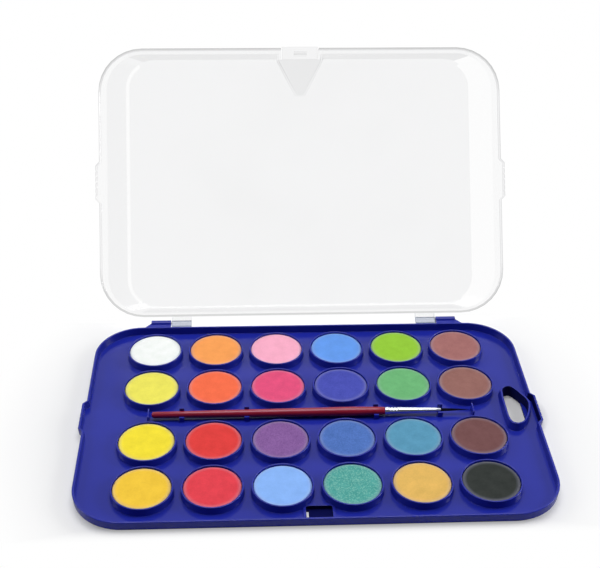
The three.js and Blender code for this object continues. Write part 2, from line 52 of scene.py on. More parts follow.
forward = Vector((
    math.sin(turned_right) * math.cos(looks_down),
    math.cos(turned_right) * math.cos(looks_down),
    -math.sin(looks_down),
))
level = forward.cross(Vector((0, 0, 1))).normalized()
upright = level.cross(forward)
across = level * math.cos(rolled) + upright * math.sin(rolled)
above = upright * math.cos(rolled) - level * math.sin(rolled)

camera_data = bpy.data.cameras.new("camera")
camera_data.sensor_width = sensor_width
camera_data.lens = focal_length
camera_data.clip_start = nearest_seen
camera = bpy.data.objects.new("camera", camera_data)
camera.matrix_world = Matrix.Translation(eye) @ Matrix((across, above, -forward)).transposed().to_4x4()
bpy.context.collection.objects.link(camera)
bpy.context.scene.camera = camera
bpy.context.scene.view_settings.view_transform = "Standard"


# White table, white surroundings and three soft lamps
# The table is white to the camera and still shows the box's shadow. One lamp hangs overhead,
# and one stands low on each side, so that the shadow falls to the left and to the right.
table_reach = 3.0
table_tone = (0.68, 0.68, 0.685, 1)
plain_white = (1, 1, 1, 1)
# what is added to the table as the camera sees it, and the share of that left under the thumb hole,
# where shade is painted
table_lift = 0.24
lift_in_painted_hole_shade = 0.1
painted_hole_shade_middle = (110.5 * mm, 3 * mm, 0)
painted_hole_shade_ends = (20 * mm, 24 * mm)
# where the table turns plain white: all round the box, and in front of it and behind it
white_round_box = (132 * mm, 185 * mm)
white_front_and_back = (84 * mm, 96 * mm)
box_middle_y = 6 * mm
# the room that plastic and metal mirror is dimmer in front, and gives little light itself
room_tone = (0.97, 0.98, 1, 1)
room_light_tone = (0.93, 0.96, 1, 1)
room_light_share = 0.2
room_front_share = 0.12
room_front_ends = (-0.6, 0.1)
# name, place, size and power
lamps = [
    ("lamp_overhead", (0.0, 0.19, 1.3), 0.9, 10.7),
    ("lamp_left", (-1.05, 0.1, 0.72), 0.5, 3.4),
    ("lamp_right", (1.1, 0.1, 0.6), 0.5, 6.6),
]


def new_material(name):
    """A node material, its node tree and its Principled shader."""
    material = bpy.data.materials.new(name)
    material.use_nodes = True
    return material, material.node_tree, material.node_tree.nodes["Principled BSDF"]


def wire(tree, value, socket):
    """Gives a socket another node's output, or a plain value."""
    if isinstance(value, bpy.types.NodeSocket):
        tree.links.new(value, socket)
    else:
        socket.default_value = value


def feed(tree, node, values):
    """Gives a node's inputs, by their names, other nodes' outputs or plain values."""
    for name, value in values.items():
        wire(tree, value, node.inputs[name])


def reckon(tree, operation, first, second=0.0):
    """The outcome of a sum on one or two values."""
    node = tree.nodes.new("ShaderNodeMath")
    node.operation = operation
    wire(tree, first, node.inputs[0])
    wire(tree, second, node.inputs[1])
    return node.outputs[0]


def graded(tree, value, ends=(0.0, 1.0), low=0.0, high=1.0, smooth=False):
    """Goes from low to high as a value goes from the first of its two ends to the second."""
    node = tree.nodes.new("ShaderNodeMapRange")
    if smooth:
        node.interpolation_type = "SMOOTHSTEP"
    wire(tree, value, node.inputs["Value"])
    feed(tree, node, {"From Min": ends[0], "From Max": ends[1], "To Min": low, "To Max": high})
    return node.outputs["Result"]


def object_place(tree):
    """Where a point lies in the frame of its own piece."""
    return tree.nodes.new("ShaderNodeTexCoord").outputs["Object"]


def how_far(tree, place, middle):
    """The distance between a place and a fixed point."""
    node = tree.nodes.new("ShaderNodeVectorMath")
    node.operation = "DISTANCE"
    wire(tree, place, node.inputs[0])
    wire(tree, middle, node.inputs[1])
    return node.outputs["Value"]


def part_along(tree, place, axis):
    """One of the three coordinates of a place."""
    node = tree.nodes.new("ShaderNodeSeparateXYZ")
    wire(tree, place, node.inputs["Vector"])
    return node.outputs[axis]


def mix_shaders(tree, share, first, second):
    """The first shader, with a share of the second."""
    node = tree.nodes.new("ShaderNodeMixShader")
    for value, socket in zip((share, first, second), node.inputs):
        wire(tree, value, socket)
    return node.outputs[0]


def rays_that(tree, *kinds):
    """1 for rays of any of these kinds, and 0 for the rest."""
    rays = tree.nodes.new("ShaderNodeLightPath")
    found = rays.outputs[kinds[0]]
    for kind in kinds[1:]:
        found = reckon(tree, "MAXIMUM", found, rays.outputs[kind])
    return found


table_mesh = bpy.data.meshes.new("table")
bm = bmesh.new()
bmesh.ops.create_grid(bm, x_segments=1, y_segments=1, size=table_reach)
bm.to_mesh(table_mesh)
bm.free()
table = bpy.data.objects.new("table", table_mesh)
bpy.context.collection.objects.link(table)

table_white, tree, shader = new_material("table_white")
feed(tree, shader, {"Base Color": table_tone, "Roughness": 0.9, "Specular IOR Level": 0.0})
seen = rays_that(tree, "Is Camera Ray", "Is Glossy Ray", "Is Transmission Ray")
looked_at = rays_that(tree, "Is Camera Ray", "Is Transmission Ray")
place = object_place(tree)

# Painted shade: under the thumb hole the table keeps only a small share of the white added for the camera.
painted_hole_shade = graded(tree, how_far(tree, place, painted_hole_shade_middle), painted_hole_shade_ends, lift_in_painted_hole_shade)
small_lift = reckon(tree, "MULTIPLY", looked_at, table_lift)
lift = tree.nodes.new("ShaderNodeEmission")
feed(tree, lift, {"Color": plain_white, "Strength": reckon(tree, "MULTIPLY", small_lift, painted_hole_shade)})
near_box = tree.nodes.new("ShaderNodeAddShader")
wire(tree, shader.outputs[0], near_box.inputs[0])
wire(tree, lift.outputs[0], near_box.inputs[1])

far_from_box = graded(tree, how_far(tree, place, (0, 0, 0)), white_round_box, smooth=True)
from_middle = reckon(tree, "SUBTRACT", part_along(tree, place, "Y"), box_middle_y)
either_way = reckon(tree, "ABSOLUTE", from_middle)
front_and_back = graded(tree, either_way, white_front_and_back, smooth=True)
seen_far = reckon(tree, "MULTIPLY", seen, far_from_box)
seen_beyond = reckon(tree, "MULTIPLY", looked_at, front_and_back)
clear_of_shadow = reckon(tree, "MAXIMUM", seen_far, seen_beyond)
white_glow = tree.nodes.new("ShaderNodeEmission")
feed(tree, white_glow, {"Color": plain_white})
near_and_far = mix_shaders(tree, clear_of_shadow, near_box.outputs[0], white_glow.outputs[0])
wire(tree, near_and_far, tree.nodes["Material Output"].inputs["Surface"])
table_mesh.materials.append(table_white)

world = bpy.data.worlds.new("white_room")
world.use_nodes = True
tree = world.node_tree
direction = tree.nodes.new("ShaderNodeTexCoord").outputs["Generated"]
brightness = graded(tree, part_along(tree, direction, "Y"), room_front_ends, room_front_share)
mirrored = tree.nodes["Background"]
feed(tree, mirrored, {"Color": room_tone, "Strength": brightness})
soft_light = tree.nodes.new("ShaderNodeBackground")
faint = reckon(tree, "MULTIPLY", brightness, room_light_share)
feed(tree, soft_light, {"Color": room_light_tone, "Strength": faint})
white = tree.nodes.new("ShaderNodeBackground")
feed(tree, white, {"Color": plain_white, "Strength": 1.0})
is_mirrored = rays_that(tree, "Is Glossy Ray")
lit_or_mirrored = mix_shaders(tree, is_mirrored, soft_light.outputs[0], mirrored.outputs[0])
is_seen = rays_that(tree, "Is Camera Ray", "Is Transmission Ray")
surroundings = mix_shaders(tree, is_seen, lit_or_mirrored, white.outputs[0])
wire(tree, surroundings, tree.nodes["World Output"].inputs["Surface"])
bpy.context.scene.world = world

for name, place, size, power in lamps:
    data = bpy.data.lights.new(name, "AREA")
    data.shape = "SQUARE"
    data.size = size
    data.energy = power
    lamp = bpy.data.objects.new(name, data)
    aimed = (-Vector(place)).to_track_quat("-Z", "Y").to_matrix().to_4x4()
    lamp.matrix_world = Matrix.Translation(place) @ aimed
    bpy.context.collection.objects.link(lamp)


# Tray shell
# One injection moulding in glossy deep blue plastic: a shallow round-cornered tray with a
# notched finger grip in each short side and a recessed, ribbed underside.
tray_half_length = 125.5 * mm
tray_half_width = 83.5 * mm
tray_corner = 27 * mm
corner_steps = 14
grip_half = 10.5 * mm
grip_ramp = 2.5 * mm
grip_depth = 2.3 * mm
notch_count = 5
notch_width = 1.2 * mm
notch_depth = 0.5 * mm
floor_top = 2.6 * mm
underside_recess = 1.2 * mm
rim_top = 7.2 * mm
rim_width = 1.3 * mm
rim_round = 0.55 * mm
rim_round_inside = 0.3 * mm
rim_round_steps = 4
wall_draft = 0.35 * mm
foot_slope_top = 2.4 * mm
foot_inset = 2.5 * mm
foot_band = 3 * mm
shell_rounding = 0.22 * mm
# two loops in one plane, one inside the other, are joined cleanly only if one lies a little lower
lip_fall = 0.03 * mm

blue_tones = ((0.0115, 0.0195, 0.293), (0.0145, 0.0235, 0.337))
# a darker blue that paints shade into the latch pocket and onto the thumb hole's inner wall
painted_shade_blue_tones = ((0.001, 0.002, 0.055), (0.002, 0.004, 0.08))


def loop_of(bm, corners, height, round_corners=(), radius=0.0, steps=1):
    """The edges of a closed loop at one height, with some of its corners made round."""
    points = [bm.verts.new((x, y, height)) for x, y in corners]
    face = bm.faces.new(points)
    rounded = [points[i] for i in round_corners]
    if rounded:
        kept = next(p for p in points if p not in rounded)
        bmesh.ops.bevel(bm, geom=rounded, affect="VERTICES", offset=radius, segments=steps,
                        profile=0.5, material=-1, offset_type="OFFSET", clamp_overlap=False)
        face = kept.link_faces[0]
    edges = list(face.edges)
    bmesh.ops.delete(bm, geom=[face], context="FACES_ONLY")
    return edges


def side_grip(out, notched):
    """Places along one short side, front to back, where it steps out for the grip."""
    places = [(-grip_half - grip_ramp, 0.0), (-grip_half, out)]
    pitch = 2 * grip_half / (notch_count + 1)
    for notch in range(1, notch_count + 1):
        middle = -grip_half + notch * pitch
        places += [(middle - notch_width / 2, out), (middle, out - notched), (middle + notch_width / 2, out)]
    return places + [(grip_half, out), (grip_half + grip_ramp, 0.0)]


def tray_loop(bm, inset, height, out=0.0, notched=0.0):
    """The tray's outline, drawn in by an inset, as a loop of edges."""
    x = tray_half_length - inset
    y = tray_half_width - inset
    grip = side_grip(out, notched)
    corners = [(x, -y)] + [(x + step, along) for along, step in grip] + [(x, y), (-x, y)]
    corners += [(-x - step, along) for along, step in reversed(grip)] + [(-x, -y)]
    count = len(grip)
    round_corners = (0, count + 1, count + 2, 2 * count + 3)
    return loop_of(bm, corners, height, round_corners, tray_corner - inset, corner_steps)


def rounded_lip(bm, inset, inwards, radius):
    """The rim's rounded edge: loops that turn from upright to level on one side of the rim."""
    notched = notch_depth if inwards > 0 else 0.0
    fall = 0.0 if inwards > 0 else lip_fall
    loops = []
    for step in range(rim_round_steps + 1):
        angle = math.pi / 2 * step / rim_round_steps
        drawn_in = inset + inwards * radius * (1 - math.cos(angle))
        height = rim_top - fall - radius * (1 - math.sin(angle))
        loops.append(tray_loop(bm, drawn_in, height, grip_depth, notched))
    return loops


def join_loops(bm, loops):
    """Walls between loops that follow each other."""
    for one, other in zip(loops, loops[1:]):
        bmesh.ops.bridge_loops(bm, edges=one + other)


def fill_between(bm, outer, holes=()):
    """A flat face inside a loop, with holes left open."""
    edges = outer + [edge for hole in holes for edge in hole]
    bmesh.ops.triangle_fill(bm, edges=edges, use_beauty=True, use_dissolve=False)


def extrude(bm, face, along):
    """Draws a face out into a solid bar."""
    grown = bmesh.ops.extrude_face_region(bm, geom=[face], use_keep_orig=True)["geom"]
    moved = [part for part in grown if isinstance(part, bmesh.types.BMVert)]
    bmesh.ops.translate(bm, vec=along, verts=moved)


def smooth_object(bm, name, sharp):
    """The mesh as an object, smooth but for edges sharper than an angle in degrees."""
    mesh = bpy.data.meshes.new(name)
    bm.to_mesh(mesh)
    bm.free()
    mesh.polygons.foreach_set("use_smooth", [True] * len(mesh.polygons))
    mesh.set_sharp_from_angle(angle=math.radians(sharp))
    made = bpy.data.objects.new(name, mesh)
    bpy.context.collection.objects.link(made)
    return made


def soften_edges(made, width, sharp):
    """Rounds edges sharper than an angle in degrees, as a mould leaves them."""
    soften = made.modifiers.new("rounded_edges", "BEVEL")
    soften.width = width
    soften.segments = 2
    soften.limit_method = "ANGLE"
    soften.angle_limit = math.radians(sharp)
    soften.use_clamp_overlap = True
    soften.harden_normals = True


def piece(bm, name, body, material, sharp=32, rounding=0.0):
    """The mesh as a named piece of one material that rides on a body."""
    bmesh.ops.recalc_face_normals(bm, faces=bm.faces)
    made = smooth_object(bm, name, sharp)
    made.data.materials.append(material)
    if rounding:
        soften_edges(made, rounding, sharp)
    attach(made, body)
    return made


def noise(tree, place, scale, detail=2, roughness=0.5):
    """A cloudy pattern from 0 to 1."""
    node = tree.nodes.new("ShaderNodeTexNoise")
    feed(tree, node, {"Vector": place, "Scale": scale, "Detail": detail, "Roughness": roughness})
    return node.outputs["Fac"]


def two_tones(tree, value, first, second, ends=(0.0, 1.0)):
    """Goes from one tone to another as a value goes from the first of its two ends to the second."""
    node = tree.nodes.new("ShaderNodeValToRGB")
    for stop, position, tone in zip(node.color_ramp.elements, ends, (first, second)):
        stop.position = position
        stop.color = (*tone, 1)
    wire(tree, value, node.inputs["Fac"])
    return node.outputs["Color"]


def bump(tree, height, strength, distance):
    """Normals for a surface that a pattern raises."""
    node = tree.nodes.new("ShaderNodeBump")
    feed(tree, node, {"Height": height, "Strength": strength, "Distance": distance})
    return node.outputs["Normal"]


blue_plastic, tree, shader = new_material("glossy_blue_plastic")
place = object_place(tree)
clouds = noise(tree, place, scale=22, detail=3)
wipes = noise(tree, place, scale=60, detail=5, roughness=0.6)
ripple = noise(tree, place, scale=260)
feed(tree, shader, {
    "Base Color": two_tones(tree, clouds, *blue_tones, ends=(0.3, 0.7)),
    "Roughness": graded(tree, wipes, low=0.12, high=0.22),
    "Specular IOR Level": 0.28,
    "Normal": bump(tree, ripple, strength=0.08, distance=0.2 * mm),
})

# Painted shade: the latch pocket and the thumb hole's inner wall get this darker blue, as little light
# reaches them.
painted_shade_blue, tree, shader = new_material("painted_shade_blue_plastic")
sparked = noise(tree, object_place(tree), scale=1400)
feed(tree, shader, {
    "Base Color": two_tones(tree, sparked, *painted_shade_blue_tones),
    "Roughness": 0.7,
    "Specular IOR Level": 0.05,
})

# The thumb hole is a long rounded drop with a collar round it, right of the tablets.
thumb_width = 13.1 * mm
thumb_length = 32 * mm
thumb_middle = (115.9 * mm, 3.1 * mm)
thumb_shares = [(-0.48, 0.28), (-0.5, 0), (-0.47, -0.4), (-0.2, -0.5), (0.12, -0.42),
                (0.37, -0.2), (0.5, 0.06), (0.3, 0.28), (-0.06, 0.5), (-0.4, 0.45)]
thumb_curve_steps = 7
thumb_collar = 1 * mm
thumb_collar_top = 7.1 * mm
thumb_foot = (1.8 * mm, 2.2 * mm)


def thumb_loop(bm, wider, longer, height):
    """The thumb hole's outline as a loop, widened and lengthened on every side."""
    knots = [Vector((thumb_middle[0] + x * (thumb_width + 2 * wider),
                     thumb_middle[1] + y * (thumb_length + 2 * longer), 0)) for x, y in thumb_shares]
    count = len(knots)
    points = []
    for i in range(count):
        before, here, after, beyond = (knots[(i + step) % count] for step in (-1, 0, 1, 2))
        points += geometry.interpolate_bezier(
            here, here + (after - before) / 6, after - (beyond - here) / 6, after, thumb_curve_steps)[:-1]
    return loop_of(bm, [(p.x, p.y) for p in points], height)


# The latch pocket is a small frame against the front wall, which the lid's hook goes into. A
# narrow window at its left goes on through a boss under the floor, and a catch juts out above.
pocket_half = 6.7 * mm
pocket_front = -80.8 * mm
pocket_back = -70.1 * mm
pocket_floor = 0.8 * mm
pocket_chamfer = 0.8 * mm
frame_width = 1.5 * mm
frame_front = -81.3 * mm
frame_top = 3.1 * mm
frame_chamfer = 2.6 * mm
window_along = (-6.5 * mm, -5.3 * mm)
window_across = (-76.7 * mm, -71.4 * mm)
boss_along = (-7.6 * mm, 7.6 * mm)
boss_across = (-76.9 * mm, -69.2 * mm)
boss_foot = 0.05 * mm
# the catch seen from its side, as places across the tray and heights in millimetres
catch_outline = [(-82.2, 2.2), (-80.8, 2.2), (-80.8, 4.2), (-80, 4.2), (-80, 4.7), (-80.5, 5.2), (-82.2, 5.2)]
nearly_upright = 0.2
near = 0.1 * mm


def box_loop(bm, x, y, height):
    """A rectangle as a loop of edges."""
    return loop_of(bm, [(x[0], y[0]), (x[1], y[0]), (x[1], y[1]), (x[0], y[1])], height)


def frame_loop(bm, wider, front, height, chamfer):
    """The latch pocket's outline: square at the front, with its rear corners cut off."""
    x = pocket_half + wider
    y = pocket_back + wider
    return loop_of(bm, [(-x, front), (x, front), (x, y - chamfer), (x - chamfer, y),
                        (-x + chamfer, y), (-x, y - chamfer)], height)


def lies_in_painted_shade(face):
    """Whether a face of the tray lies in the latch pocket or on the thumb hole's wall, where shade is
    painted.
    """
    x, y, z = face.center
    in_pocket = (abs(x) < pocket_half + near and pocket_front < y < pocket_back + near
                 and near < z < frame_top - 2 * near)
    to_hole = Vector((thumb_middle[0] - x, thumb_middle[1] - y, 0))
    in_thumb_hole = (to_hole.length < thumb_length / 2 + thumb_collar
                     and abs(face.normal.z) < nearly_upright and face.normal.dot(to_hole) > 0)
    return in_pocket or in_thumb_hole


bm = bmesh.new()
outer_wall = [
    tray_loop(bm, foot_inset, 0, grip_depth, notch_depth),
    tray_loop(bm, wall_draft, foot_slope_top, grip_depth, notch_depth),
    *rounded_lip(bm, 0, 1, rim_round),
    *reversed(rounded_lip(bm, rim_width, -1, rim_round_inside)),
    tray_loop(bm, rim_width + wall_draft, floor_top, grip_depth),
]
underside = [
    tray_loop(bm, foot_inset + foot_band, lip_fall),
    tray_loop(bm, foot_inset + foot_band, underside_recess),
]
thumb_walls = [
    thumb_loop(bm, *thumb_foot, floor_top),
    thumb_loop(bm, thumb_collar, thumb_collar, thumb_collar_top),
    thumb_loop(bm, 0, 0, thumb_collar_top - lip_fall),
    thumb_loop(bm, 0, 0, 0),
    thumb_loop(bm, *thumb_foot, lip_fall),
    thumb_loop(bm, *thumb_foot, underside_recess),
]
pocket_walls = [
    frame_loop(bm, frame_width, frame_front, floor_top, frame_chamfer),
    frame_loop(bm, frame_width, frame_front, frame_top, frame_chamfer),
    frame_loop(bm, 0, pocket_front, frame_top - lip_fall, pocket_chamfer),
    frame_loop(bm, 0, pocket_front, pocket_floor, pocket_chamfer),
]
pocket_boss = [
    box_loop(bm, boss_along, boss_across, underside_recess),
    box_loop(bm, boss_along, boss_across, boss_foot),
]
window_walls = [
    box_loop(bm, window_along, window_across, pocket_floor),
    box_loop(bm, window_along, window_across, boss_foot),
]
join_loops(bm, outer_wall)
join_loops(bm, [outer_wall[0], *underside])
join_loops(bm, pocket_boss)
join_loops(bm, window_walls)
join_loops(bm, thumb_walls)
join_loops(bm, pocket_walls)
fill_between(bm, outer_wall[-1], [thumb_walls[0], pocket_walls[0]])
fill_between(bm, underside[-1], [thumb_walls[-1], pocket_boss[0]])
fill_between(bm, pocket_walls[-1], [window_walls[0]])
fill_between(bm, pocket_boss[-1], [window_walls[-1]])
catch_end = bm.faces.new([bm.verts.new((-pocket_half, y * mm, z * mm)) for y, z in catch_outline])
extrude(bm, catch_end, (2 * pocket_half, 0, 0))
tray_shell = piece(bm, "tray_shell", "tray", blue_plastic, rounding=shell_rounding)
tray_shell.data.materials.append(painted_shade_blue)
# Faces in the latch pocket and on the thumb hole's wall take the painted shade.
for face in tray_shell.data.polygons:
    face.material_index = 1 if lies_in_painted_shade(face) else 0
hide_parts("tray")


# Tablet collars
# Twenty-four thin rings that stand up from the tray's floor, moulded with it, one round each
# paint tablet. Their lips are slightly round from the mould.
tablet_pitch = 36 * mm
tablets_in_row = 6
columns = [(i - (tablets_in_row - 1) / 2) * tablet_pitch for i in range(tablets_in_row)]
rows = [60 * mm, 24 * mm, -22.2 * mm, -58.2 * mm]
# the ring's section, as radii and heights in millimetres
collar_profile = [(15.3, 2.3), (16.7, 2.3), (16.38, 2.75), (16.22, 3.3), (16.2, 6.85), (16.1, 7.03),
                  (15.92, 7.1), (15.55, 7.1), (15.38, 7.03), (15.3, 6.85)]
collar_sides = 64
weld = 0.001 * mm


def spin_round(bm, points, pairs, middle, axis, sides):
    """Spins a line of points, joined in pairs, all the way round an axis."""
    edges = [bm.edges.new(pair) for pair in pairs]
    bmesh.ops.spin(bm, geom=points + edges, cent=middle, axis=axis,
                   angle=2 * math.pi, steps=sides, use_merge=True)


bm = bmesh.new()
for y in rows:
    for x in columns:
        ring = [bm.verts.new((x + r * mm, y, z * mm)) for r, z in collar_profile]
        spin_round(bm, ring, zip(ring, ring[1:] + ring[:1]), (x, y, 0), (0, 0, 1), collar_sides)
bmesh.ops.remove_doubles(bm, verts=bm.verts, dist=weld)
collars = piece(bm, "tray_collars", "tray", blue_plastic, sharp=50)
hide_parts("tray")


# Brush rests
# Four clips hold the brush's handle and ferrule, and a thin upright stop stands past each of
# its ends. All are moulded with the tray.
brush_y = 0.9 * mm
brush_z = 5.7 * mm
rests_foot = 2 * mm
rests_rounding = 0.15 * mm
stop_x = 90.45 * mm
stop_half_thick = 0.4 * mm
stop_half_wide = 3.8 * mm
# each clip's place along the tray, and the radius that it holds
clip_places = [(-72 * mm, 1.68 * mm), (-36 * mm, 1.97 * mm), (36 * mm, 2.27 * mm), (72 * mm, 1.2 * mm)]
clip_play = 0.3 * mm
clip_wall = 1.1 * mm
clip_width = 2.7 * mm
clip_rise = 2.6 * mm
clip_bend_share = 0.97
clip_bend_steps = 7


def bar(bm, low, high, rounding):
    """A square bar between two corners, with its edges rounded."""
    made = bmesh.ops.create_cube(bm, size=1)
    size = [h - l for l, h in zip(low, high)]
    middle = [(l + h) / 2 for l, h in zip(low, high)]
    bmesh.ops.scale(bm, vec=size, verts=made["verts"])
    bmesh.ops.translate(bm, vec=middle, verts=made["verts"])
    edges = list({e for v in made["verts"] for e in v.link_edges})
    bmesh.ops.bevel(bm, geom=edges, affect="EDGES", offset=rounding, segments=2, profile=0.5, material=-1)


bm = bmesh.new()
for x in (-stop_x, stop_x):
    bar(bm, (x - stop_half_thick, brush_y - stop_half_wide, rests_foot),
        (x + stop_half_thick, brush_y + stop_half_wide, rim_top), rests_rounding)
for x, radius in clip_places:
    inner = radius + clip_play
    outer = inner + clip_wall
    seat = brush_z - inner
    top = brush_z + clip_rise
    corners = [(-outer, rests_foot), (outer, rests_foot), (outer, top), (inner, top),
               (inner, seat), (-inner, seat), (-inner, brush_z), (-outer, brush_z)]
    points = [bm.verts.new((x - clip_width / 2, brush_y + y, z)) for y, z in corners]
    bm.faces.new(points)
    bmesh.ops.bevel(bm, geom=points[4:6], affect="VERTICES", offset=inner * clip_bend_share,
                    segments=clip_bend_steps, profile=0.5, material=-1)
    extrude(bm, points[0].link_faces[0], (clip_width, 0, 0))
rests = piece(bm, "tray_brush_rests", "tray", blue_plastic, sharp=40, rounding=rests_rounding)
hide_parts("tray")


# Hinge ears
# Two ears behind the rear rim, moulded with the tray. Each has a round end with a blind bore
# for the lid's pin, and slopes down at its outer end.
hinge_y = 87.8 * mm
hinge_z = 6.5 * mm
ear_inner = 82 * mm
ear_outer = 94 * mm
ear_radius = 2 * mm
ear_inner_chamfer = 0.15 * mm
ear_outer_chamfer = 0.2 * mm
ear_sides = 32
bore_radius = 1.4 * mm
bore_end = 87.5 * mm
arm_inner = ear_inner + 0.02 * mm
arm_slope = ear_outer - 0.3 * mm
arm_outer = 97.5 * mm
arm_front = 82.3 * mm
arm_corner = 83.2 * mm
arm_low = 3.6 * mm
arm_height = 3.57 * mm

bm = bmesh.new()
for side in (-1, 1):
    profile = [(bore_end, 0), (bore_end, bore_radius), (ear_inner, bore_radius),
               (ear_inner, ear_radius - ear_inner_chamfer), (ear_inner + ear_inner_chamfer, ear_radius),
               (ear_outer - ear_outer_chamfer, ear_radius), (ear_outer, ear_radius - ear_outer_chamfer),
               (ear_outer, 0)]
    points = [bm.verts.new((side * x, hinge_y, hinge_z + r)) for x, r in profile]
    spin_round(bm, points, zip(points, points[1:]), (0, hinge_y, hinge_z), (1, 0, 0), ear_sides)
    arm = [(arm_inner, arm_front), (arm_outer, arm_front), (arm_outer, arm_corner),
           (arm_slope, hinge_y), (arm_inner, hinge_y)]
    arm_base = bm.faces.new([bm.verts.new((side * x, y, arm_low)) for x, y in arm])
    extrude(bm, arm_base, (0, 0, arm_height))
bmesh.ops.remove_doubles(bm, verts=bm.verts, dist=weld)
ears = piece(bm, "tray_hinge_ears", "tray", blue_plastic, sharp=40)
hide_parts("tray")


# Underside ribs
# A cross of two flat ribs stiffens the recessed underside. It is moulded with the tray. One rib
# ends at the thumb hole and the other at the latch pocket's boss.
rib_half = 2.5 * mm
rib_overlap = 0.2 * mm
rib_left = -(tray_half_length - foot_inset - foot_band) - rib_overlap
rib_back = tray_half_width - foot_inset - foot_band + rib_overlap
rib_right = 108 * mm
rib_front = -69.4 * mm
rib_foot = 0.02 * mm
rib_top = 1.3 * mm
rib_step = 0.01 * mm
rib_rounding = 0.15 * mm

bm = bmesh.new()
bar(bm, (rib_left, -rib_half, rib_foot), (rib_right, rib_half, rib_top), rib_rounding)
bar(bm, (-rib_half, rib_front, rib_foot + rib_step), (rib_half, rib_back, rib_top - rib_step), rib_rounding)
ribs = piece(bm, "tray_underside_ribs", "tray", blue_plastic, sharp=40)
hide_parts("tray")


# Paint tablets
# Round cakes of pressed watercolour pigment, matt and a little dusty at their edges, where a painted
# bluish reflection of the collar shows too. Each sits loose in its collar. Some have coarser pigment,
# and the green-blue one has faint glitter painted into its colour.
tablet_sides = 72
# radius and height in millimetres, and how far the surface there is edge rather than cake
tablet_profile = [
    (0, 6.36, 0), (4, 6.36, 0), (8, 6.36, 0), (11, 6.365, 0), (12.4, 6.375, 0.12), (13.3, 6.39, 0.4),
    (14, 6.4, 0.75), (14.45, 6.37, 1), (14.78, 6.26, 1), (14.95, 6.1, 1), (15, 5.9, 1),
    (15, 3.2, 1), (14.8, 2.95, 1), (14.5, 2.9, 1), (0, 2.9, 0),
]
cake_tone_ends = (0.36, 0.64)
# dust, with a painted bluish reflection of the collar, mixed in towards each tablet's rim
dust_and_reflection_tone = (0.22, 0.22, 0.29)
dust_and_reflection_share = 0.5
dust_and_reflection_most = 0.48
dust_and_reflection_from = 0.15
# pale flecks painted into the colour as glints for the glitter
painted_glint_tone = (0.3, 0.62, 0.52, 1)
painted_glint_ends = (0.62, 0.7)
# name, colour, how coarse its grain is, and how much it glitters
tablet_paints = [
    ("white", (0.941, 0.98, 0.941), 0.1, 0), ("light_orange", (0.98, 0.365, 0.098), 0.15, 0),
    ("pink", (0.98, 0.429, 0.58), 0.2, 0), ("sky_blue", (0.128, 0.328, 0.838), 0.15, 0),
    ("lime_green", (0.296, 0.585, 0.041), 0.15, 0), ("rose_brown", (0.366, 0.15, 0.142), 0.35, 0),
    ("lemon_yellow", (0.888, 0.82, 0.117), 0.15, 0), ("vermilion", (0.98, 0.162, 0.069), 0.2, 0),
    ("magenta", (0.799, 0.083, 0.209), 0.25, 0), ("ultramarine", (0.06, 0.074, 0.445), 0.5, 0),
    ("green", (0.153, 0.468, 0.185), 0.3, 0), ("light_brown", (0.297, 0.134, 0.115), 0.35, 0),
    ("yellow", (0.958, 0.776, 0.04), 0.15, 0), ("red", (0.776, 0.051, 0.047), 0.2, 0),
    ("violet", (0.238, 0.103, 0.333), 0.8, 0), ("blue", (0.073, 0.171, 0.515), 0.7, 0),
    ("turquoise", (0.1, 0.318, 0.485), 0.3, 0), ("dark_brown", (0.171, 0.073, 0.073), 0.3, 0),
    ("golden_yellow", (0.98, 0.611, 0.049), 0.2, 0), ("crimson", (0.807, 0.055, 0.078), 0.25, 0),
    ("light_blue", (0.262, 0.485, 0.98), 0.15, 0), ("emerald", (0.073, 0.364, 0.324), 0.6, 0.5),
    ("ochre", (0.799, 0.491, 0.122), 0.25, 0), ("black", (0.027, 0.032, 0.029), 0.3, 0),
]


def mix_tones(tree, share, first, second):
    """The first tone, with a share of the second."""
    node = tree.nodes.new("ShaderNodeMix")
    node.data_type = "RGBA"
    wire(tree, share, node.inputs["Factor"])
    wire(tree, first, node.inputs[6])
    wire(tree, second, node.inputs[7])
    return node.outputs[2]


